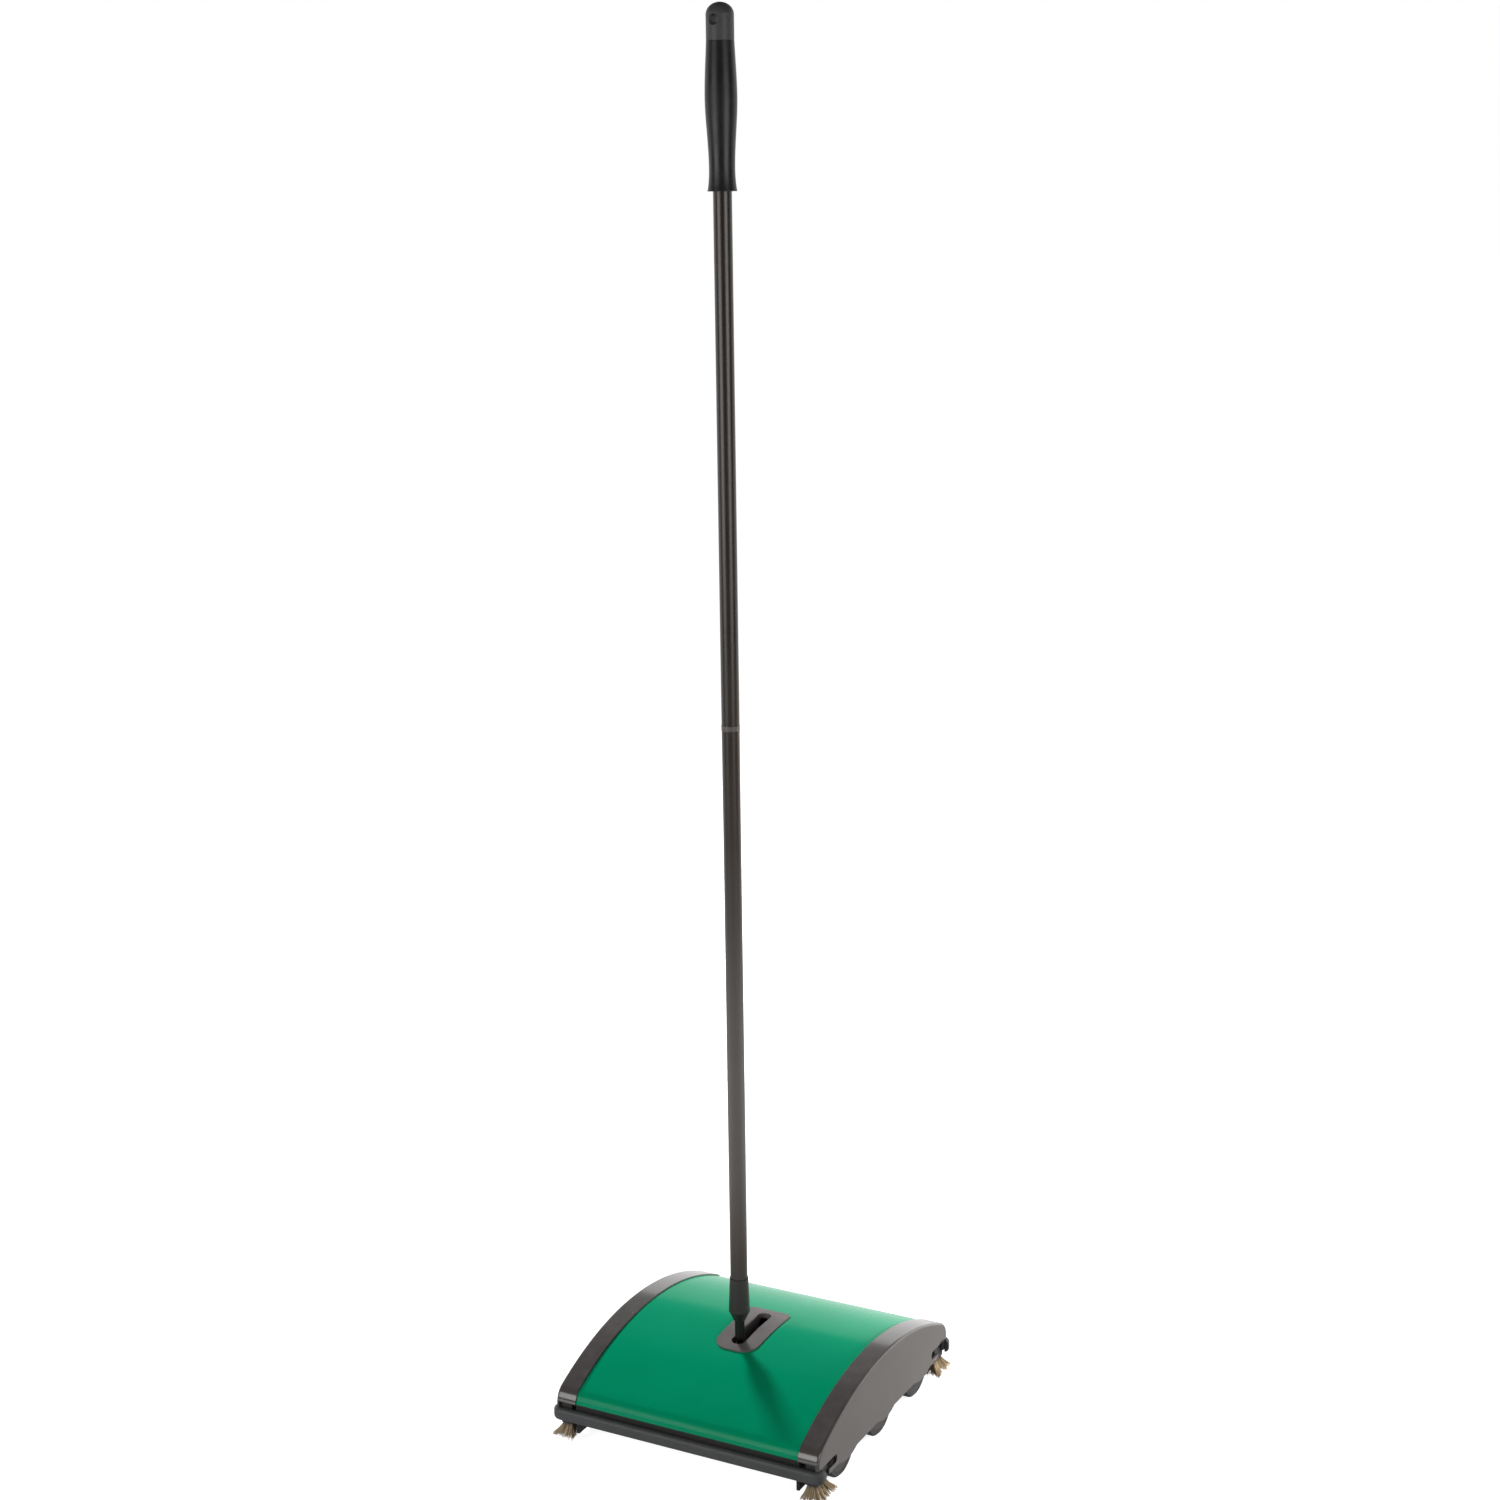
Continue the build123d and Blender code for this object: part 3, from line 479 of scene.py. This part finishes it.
def makeCover(look):
    low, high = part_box("top_cover")
    plateLow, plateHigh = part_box("slot_plate")
    holeFront = plateLow.y + look["lap"]
    holeRear = plateHigh.y - look["lap"]
    y, z = coverRows(look, high.z, low.z, holeFront, holeRear)
    start = openingHalf(look, y, plateHigh.x - look["lap"], holeFront, holeRear)[:, None]
    inner = start * np.linspace(0, 1, look["innerColumns"] + 1)
    outer = start + (high.x - start) * np.linspace(0, 1, look["outerColumns"] + 1)[1:]
    right = np.concatenate([inner, outer], axis=1)
    x = np.concatenate([-right[:, :0:-1], right], axis=1)
    rows, columns = x.shape
    faces = gridFaces(rows, columns)
    row, column = faces[:, 0] // columns, faces[:, 0] % columns
    overHole = (y[row] >= holeFront - look["slack"]) & (y[row + 1] <= holeRear + look["slack"])
    overHole &= np.abs(column + 0.5 - columns // 2) < look["innerColumns"]
    cover = addPiece("coverShell", gridPoints(x, y[:, None], z[:, None]), faces[~overHole],
                     finishes["cover_green"], "case", "top_cover")
    wall = cover.modifiers.new("sheet", "SOLIDIFY")
    wall.thickness = look["sheet"]
    wall.offset = -1.0  # the sheet lies inside the worked-out surface
    wall.use_even_offset = True
    edge = cover.modifiers.new("edge", "BEVEL")
    edge.width = look["edge"]
    edge.segments = look["edgeSteps"]
    edge.limit_method = "ANGLE"
    edge.angle_limit = math.radians(look["edgeAngle"])


makeCover(coverSet)
print("cover shaped")


# Strands: each runs from root to tip along root + run * s + bow * (s squared - s), with a ring of corners
# round it that narrows to the tip; the ring stands across the strand's own run.
strandSide = np.array([1.0, 0.03, 0.02])  # no strand runs along it


def strandPoints(roots, tips, bows, radius, rings, corners, taper):
    s = np.linspace(0, 1, rings)[None, :, None]
    run = (tips - roots)[:, None, :]
    line = roots[:, None, :] + run * s + bows[:, None, :] * (s ** 2 - s)
    along = run / np.linalg.norm(run, axis=2, keepdims=True)
    side = np.cross(along, strandSide)
    side /= np.linalg.norm(side, axis=2, keepdims=True)
    other = np.cross(along, side)
    angle = wholeTurn(corners)[None, None, :, None]
    width = radius * (1 - (1 - taper) * s)[..., None]
    ring = np.cos(angle) * side[:, :, None, :] + np.sin(angle) * other[:, :, None, :]
    return line[:, :, None, :] + ring * width


# one wrapped grid of quads per strand, closed by a face at the root and one at the tip
def strandFaces(count, rings, corners):
    step = rings * corners
    starts = (np.arange(count) * step)[:, None, None]
    sides = (gridFaces(rings, corners, wrapColumns=True)[None] + starts).reshape(-1, 4)
    rootEnd = (np.arange(corners)[None, ::-1] + starts[:, 0]).reshape(-1, corners)
    tipEnd = (np.arange(corners)[None] + step - corners + starts[:, 0]).reshape(-1, corners)
    return [*sides.tolist(), *rootEnd.tolist(), *tipEnd.tolist()]


# strands as one piece, with a tone for each strand and a painted shade that fades from root to tip
def addStrands(name, roots, tips, bows, look, body, slot, node):
    rings, corners = look["rings"], look["corners"]
    points = strandPoints(roots, tips, bows, look["radius"], rings, corners, look["taper"])
    faces = strandFaces(len(roots), rings, corners)
    piece = addPiece(name, points, faces, finishes[slot], body, node)
    tone = dice.random(len(roots)) ** look["toneBias"]
    addAttribute(piece, "tone", np.repeat(tone, rings * corners))
    # painted shade along each strand: 1 at the root, falling to 0 at the rootFade share of its length
    fade = np.clip(1 - np.linspace(0, 1, rings) / look["rootFade"], 0, 1)
    addAttribute(piece, "shade", np.tile(np.repeat(fade, corners), len(roots)))


# Corner tufts: roots fill the foot of the holder; tips spread from the tuft's middle, lean out past the
# case's side, gather a little into locks and end just above the floor.
tuftSet = {"strands": 620, "radius": 0.00028, "rings": 6, "corners": 4, "taper": 0.7, "margin": 0.0013,
           "spreadAcross": 2.9, "spreadAlong": 2.0, "lean": 0.002, "locks": 14, "gather": 0.14,
           "stray": 0.0006, "lift": 0.0045, "uneven": 0.0012, "bow": 0.55, "toneBias": 1.2, "rootFade": 0.5}


def makeCornerTuft(row, side, look):
    node = f"{row}_{side}_corner_brush"
    low, high = (np.array(corner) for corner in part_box(node))
    holdLow, holdHigh = (np.array(corner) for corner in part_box(f"{row}_{side}_brush_holder"))
    outward = 1.0 if side == "right" else -1.0
    middle = (holdLow[:2] + holdHigh[:2]) / 2
    reach = (holdHigh[:2] - holdLow[:2]) / 2 - look["margin"]
    offset = dice.uniform(-1, 1, (look["strands"], 2)) * reach
    lockAt = dice.uniform(-1, 1, (look["locks"], 2)) * reach
    nearest = np.argmin(((offset[:, None] - lockAt[None]) ** 2).sum(2), axis=1)
    aim = offset + (lockAt[nearest] - offset) * look["gather"]
    spread = aim * [look["spreadAcross"], look["spreadAlong"]] + [outward * look["lean"], 0]
    roots = np.column_stack([middle + offset, np.full(len(offset), holdLow[2])])
    tips = np.column_stack([middle + spread, np.full(len(offset), low[2] + look["lift"])])
    tips += dice.normal(0, look["stray"], tips.shape)
    tips[:, 2] += dice.random(len(tips)) * look["uneven"]
    tips = np.clip(tips, low + look["radius"], high - look["radius"])
    bows = (tips - roots) * [look["bow"], look["bow"], 0.0]
    addStrands(f"{row}{side.title()}Tuft", roots, tips, bows, look, "case", "bristle_tan", node)


for row, side in caseCorners:
    makeCornerTuft(row, side, tuftSet)
print("corner tufts made")


# Brush rolls: tufts stand in rows that wind round the roll, each a small sheaf of strands that opens
# towards its tip. Below them a strip wraps the core, sunk a little along each row.
rollSet = {"rows": 4, "tufts": 34, "twist": 150.0, "endGap": 0.003, "sheaf": 18, "root": 0.0008,
           "open": 0.0022, "stray": 0.25, "uneven": 0.0012, "bow": 0.001, "radius": 0.00013, "rings": 3,
           "corners": 3, "taper": 0.6, "toneBias": 1.0, "rootFade": 0.8, "strip": 0.0012, "stripRows": 90,
           "stripColumns": 96, "stripFoot": 0.00002, "furrow": 0.0005, "furrowWidth": 0.11}


# box and middle of a roll's brush, radius of its core, and the side that its rows wind to
def rollSizes(end):
    low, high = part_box(f"{end}_roll_bristles")
    coreLow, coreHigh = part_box(f"{end}_roll_core")
    return low, high, (low + high) / 2, (coreHigh.z - coreLow.z) / 2, 1.0 if end == "front" else -1.0


# angle of a row at a part of the roll's length: its share of a turn, plus that part of the twist
def rowTurn(look, part, row):
    return 2 * math.pi * row / look["rows"] + math.radians(look["twist"]) * part


def makeRollBristles(end, look):
    low, high, centre, coreRadius, flip = rollSizes(end)
    rootReach = coreRadius + look["strip"] / 2
    tipRadius = (high.z - low.z) / 2 - 2 * look["radius"]
    tufts = np.linspace(0, 1, look["tufts"])
    part, row, _ = np.meshgrid(tufts, np.arange(look["rows"]), np.arange(look["sheaf"]), indexing="ij")
    turn = rowTurn(look, part.ravel(), row.ravel())
    x = low.x + look["endGap"] + part.ravel() * (high.x - low.x - 2 * look["endGap"])
    radial = gridPoints(0.0, -flip * np.sin(turn), np.cos(turn))
    tangent = gridPoints(0.0, -flip * np.cos(turn), -np.sin(turn))
    lengthways = np.array([1.0, 0.0, 0.0])
    spots = dice.uniform(-1, 1, (len(x), 2))
    base = gridPoints(x, centre.y, centre.z)
    roots = base + radial * rootReach + look["root"] * (spots[:, :1] * lengthways + spots[:, 1:] * tangent)
    fan = look["open"] * (spots + dice.normal(0, look["stray"], spots.shape))
    tipReach = np.sqrt((tipRadius - look["uneven"] * dice.random(len(x))) ** 2 - fan[:, 1] ** 2)[:, None]
    tips = base + radial * tipReach + fan[:, :1] * lengthways + fan[:, 1:] * tangent
    tips[:, 0] = np.clip(tips[:, 0], low.x, high.x)
    bows = tangent * dice.normal(0, look["bow"], (len(x), 1))
    addStrands(f"{end}RollBristles", roots, tips, bows, look, f"{end}_roll", "roll_bristle",
               f"{end}_roll_bristles")


# radius of the strip: the core's plus its thickness, less a bell curve of the angle to the nearest row
def makeRollStrip(end, look):
    low, high, centre, coreRadius, flip = rollSizes(end)
    part = np.linspace(0, 1, look["stripRows"])[:, None]
    angle = wholeTurn(look["stripColumns"])[None, :]
    rows = rowTurn(look, part[..., None], np.arange(look["rows"])[None, None, :])
    apart = np.abs((angle[..., None] - rows + math.pi) % (2 * math.pi) - math.pi).min(axis=2)
    reach = coreRadius + look["strip"] - look["furrow"] * np.exp(-(apart / look["furrowWidth"]) ** 2)
    rim = np.full((1, look["stripColumns"]), coreRadius + look["stripFoot"])
    reach = np.concatenate([rim, reach, rim])
    part = np.concatenate([part[:1], part, part[-1:]])
    points = gridPoints(low.x + (high.x - low.x) * part, centre.y - flip * reach * np.sin(angle),
                        centre.z + reach * np.cos(angle))
    faces = gridFaces(*reach.shape, wrapColumns=True)
    faces = faces if flip < 0 else faces[:, ::-1]
    addPiece(f"{end}RollStrip", points, faces, finishes["drum_rubber"], f"{end}_roll",
             f"{end}_roll_bristles")


for end in ("front", "rear"):
    makeRollBristles(end, rollSet)
    makeRollStrip(end, rollSet)
print("brush rolls dressed")


# Bumper tongues: soft ends of the bumpers that close the corners below the end caps' walls. Each is a block
# with round edges: the three shares of its half sizes, raised to one power, add up to one.
tongueSet = {"inset": 0.0001, "ahead": 0.0019, "run": 0.0072, "foot": 0.0205, "top": 0.0322, "power": 7.0,
             "rows": 15, "columns": 36, "lastRow": 0.99}


# sine or cosine raised to two over the power, with its sign kept
def roundedWave(wave, power):
    return np.sign(wave) * np.abs(wave) ** (2 / power)


def makeBumperTongue(row, side, look):
    capLow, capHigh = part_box(f"{side}_end_cap")
    holdLow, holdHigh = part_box(f"{row}_{side}_brush_holder")
    outer, inner = (capHigh.x, holdHigh.x) if side == "right" else (capLow.x, holdLow.x)
    way, holdEnd = (-1, holdLow.y) if row == "front" else (1, holdHigh.y)
    middle = np.array([(outer + inner) / 2, holdEnd + way * (look["ahead"] - look["run"] / 2),
                       (look["foot"] + look["top"]) / 2])
    half = np.array([abs(outer - inner) / 2 - look["inset"], look["run"] / 2,
                     (look["top"] - look["foot"]) / 2])
    rise = np.linspace(-1, 1, look["rows"])[:, None] * look["lastRow"] * math.pi / 2
    turn = wholeTurn(look["columns"])[None, :]
    level, height = (roundedWave(wave, look["power"]) for wave in (np.cos(rise), np.sin(rise)))
    across, along = (roundedWave(wave, look["power"]) for wave in (np.cos(turn), np.sin(turn)))
    points = middle + gridPoints(level * across, level * along, height) * half
    lowest = range(look["columns"])
    sides = gridFaces(look["rows"], look["columns"], wrapColumns=True).tolist()
    highest = [corner + (look["rows"] - 1) * look["columns"] for corner in lowest]
    addPiece(f"{row}{side.title()}Tongue", points, [*sides, lowest[::-1], highest], finishes["bumper_grey"],
             "case")


for row, side in caseCorners:
    makeBumperTongue(row, side, tongueSet)
print("bumper tongues made")


# Camera: stands where the photograph was taken from, turned by yaw, tipped down by pitch, then rolled
cameraSet = {"place": (0.850, -1.609, 0.974), "yaw": 27.81, "pitch": 12.84, "roll": -0.77, "lens": 57.24,
             "sensor": 36.0, "clip": (0.01, 200.0)}


def makeCamera(look):
    yaw, pitch, roll = (math.radians(look[key]) for key in ("yaw", "pitch", "roll"))
    back = Vector((math.sin(yaw) * math.cos(pitch), -math.cos(yaw) * math.cos(pitch), math.sin(pitch)))
    right = Vector((0, 0, 1)).cross(back).normalized()
    up = back.cross(right)
    across = right * math.cos(roll) + up * math.sin(roll)
    upward = up * math.cos(roll) - right * math.sin(roll)
    data = bpy.data.cameras.new("camera")
    data.lens = look["lens"]
    data.sensor_width = look["sensor"]
    data.clip_start, data.clip_end = look["clip"]
    camera = bpy.data.objects.new("camera", data)
    turned = Matrix((across, upward, back)).transposed().to_4x4()
    camera.matrix_world = Matrix.Translation(look["place"]) @ turned
    bpy.context.scene.collection.objects.link(camera)
    bpy.context.scene.camera = camera


# Floor: a wide flat disc, pale by itself and lifted to white where it is seen. Mirrored in the object it is
# dim close by, bright a little way off and then gone, and even behind the object.
behindWay = (-0.466, 0.885, 0.0)  # level, from the photograph's side to behind the object
floorSet = {"rings": (0.5, 1.0, 2.0, 5.0, 12.0, 40.0), "sides": 96, "drop": 0.0002,
            "color": (0.36, 0.36, 0.36), "roughness": 0.8, "seenFrom": (0.4, 1.2), "seen": (0.88, 1.0),
            "mirrorFrom": (0.3, 0.6), "mirror": (0.36, 1.9), "fadeFrom": (1.12, 1.44), "fade": (1.0, 0.03),
            "behindFrom": (0.1, 0.25), "behind": 0.9}


# 1 for rays that come off a shiny or clear piece
def mirroredRay(tree, path):
    return joined(tree, "MAXIMUM", path["Is Glossy Ray"], path["Is Transmission Ray"])


# how far a place or a ray lies behind the object
def wayBehind(tree, vector):
    dot = tree.nodes.new("ShaderNodeVectorMath")
    dot.operation = "DOT_PRODUCT"
    dot.inputs[1].default_value = behindWay
    feed(tree, vector, dot.inputs[0])
    return dot.outputs["Value"]


def makeFloor(look):
    radius = np.array(look["rings"])[:, None]
    angle = wholeTurn(look["sides"])[None, :]
    points = gridPoints(radius * np.cos(angle), radius * np.sin(angle), -look["drop"])
    faces = gridFaces(len(radius), look["sides"], wrapColumns=True)[:, ::-1].tolist()
    finish = Finish("paper floor", look["color"], look["roughness"], specular=0.0)
    tree = finish.tree
    path = finish.add("ShaderNodeLightPath").outputs
    mirrored = mirroredRay(tree, path)
    finish.blendColor(mirrored, (0.0, 0.0, 0.0))
    length = finish.add("ShaderNodeVectorMath", operation="LENGTH")
    finish.wire(finish.place, length.inputs[0])
    away = length.outputs["Value"]
    sheet = joined(tree, "MULTIPLY", eased(tree, away, look["mirrorFrom"], look["mirror"]),
                   eased(tree, away, look["fadeFrom"], look["fade"]))
    behind = eased(tree, wayBehind(tree, finish.place), look["behindFrom"])
    inMirror = joined(tree, "MULTIPLY", mirrored, blended(tree, behind, sheet, look["behind"]))
    lift = eased(tree, away, look["seenFrom"], look["seen"])
    seen = joined(tree, "MULTIPLY", path["Is Camera Ray"], lift)
    finish.shader.inputs["Emission Color"].default_value = (1, 1, 1, 1)
    finish.wire(joined(tree, "ADD", inMirror, seen), finish.shader.inputs["Emission Strength"])
    floor = addMesh("floor", points, [range(look["sides"]), *faces], finish.material)


# Surroundings: an even soft light on the object; white where seen; mirrored as a pale wall behind the
# object with a darker one above it, in a dim room
roomSet = {"light": 0.12, "seen": 1.0, "dim": 0.05, "wallTop": (0.36, 0.4), "wall": (0.9, 0.18),
           "upperTop": (0.72, 0.76), "wallSide": (0.0, 0.3)}


def whiteGlow(tree, strength):
    glow = tree.nodes.new("ShaderNodeBackground")
    glow.inputs["Color"].default_value = (1, 1, 1, 1)
    feed(tree, strength, glow.inputs["Strength"])
    return glow.outputs[0]


def mixedGlow(tree, share, first, second):
    mix = tree.nodes.new("ShaderNodeMixShader")
    for socket, source in zip(mix.inputs, (share, first, second)):
        feed(tree, source, socket)
    return mix.outputs[0]


def makeRoom(look):
    world = bpy.data.worlds.new("studio")
    bpy.context.scene.world = world
    world.use_nodes = True
    tree = world.node_tree
    tree.nodes.clear()
    ray = tree.nodes.new("ShaderNodeTexCoord").outputs["Generated"]
    axes = tree.nodes.new("ShaderNodeSeparateXYZ")
    feed(tree, ray, axes.inputs[0])
    wall = eased(tree, axes.outputs["Z"], look["wallTop"], look["wall"])
    below = eased(tree, axes.outputs["Z"], look["upperTop"], (1.0, 0.0))
    behind = eased(tree, wayBehind(tree, ray), look["wallSide"])
    strength = blended(tree, joined(tree, "MULTIPLY", below, behind), look["dim"], wall)
    path = tree.nodes.new("ShaderNodeLightPath").outputs
    soft = whiteGlow(tree, look["light"])
    unseen = mixedGlow(tree, mirroredRay(tree, path), soft, whiteGlow(tree, strength))
    room = mixedGlow(tree, path["Is Camera Ray"], unseen, whiteGlow(tree, look["seen"]))
    feed(tree, room, tree.nodes.new("ShaderNodeOutputWorld").inputs["Surface"])


# Soft boxes: two upright ones beside the camera draw the streaks on the handle; one behind on the left
# lights the top and drops the handle's shadow; a low one in front fills the cover's slope, and one low on
# the right lights that end cap
boxLights = {
    "leftBox": {"place": (-0.75, -1.85, 0.82), "aim": (0, 0, 0.7), "size": (1.25, 1.0), "level": 2.8,
                "mirror": True, "color": (1, 1, 1)},
    "rightBox": {"place": (1.83, -0.81, 0.82), "aim": (0, 0, 0.7), "size": (1.15, 1.0), "level": 2.9,
                 "mirror": True, "color": (1, 1, 1)},
    "rearBox": {"place": (-1.36, 1.36, 1.29), "aim": (0, 0, 0.05), "size": (0.3, 0.3), "level": 370,
                "mirror": False, "color": (1, 1, 1.1)},
    "frontBox": {"place": (-0.35, -1.2, 0.42), "aim": (0, 0, 0.05), "size": (0.5, 0.3), "level": 15,
                 "mirror": False, "color": (1, 1, 1)},
    "sideBox": {"place": (0.55, 0.55, 0.12), "aim": (0.1, 0.05, 0.05), "size": (0.25, 0.12), "level": 185,
                "mirror": False, "color": (1, 0.98, 0.96)},
}


def makeBox(name, look):
    data = bpy.data.lights.new(name, "AREA")
    data.shape = "RECTANGLE"
    data.size, data.size_y = look["size"]
    data.energy = look["level"] * math.pi * data.size * data.size_y  # a level of 1 looks white
    data.color = look["color"]
    light = bpy.data.objects.new(name, data)
    light.location = look["place"]
    light.rotation_euler = (Vector(look["aim"]) - Vector(look["place"])).to_track_quat("-Z", "Y").to_euler()
    light.visible_glossy = look["mirror"]
    light.visible_camera = False
    bpy.context.scene.collection.objects.link(light)


makeCamera(cameraSet)
makeFloor(floorSet)
makeRoom(roomSet)
for name, look in boxLights.items():
    makeBox(name, look)
bpy.context.scene.view_settings.view_transform = "Standard"
print("camera, floor and light set")
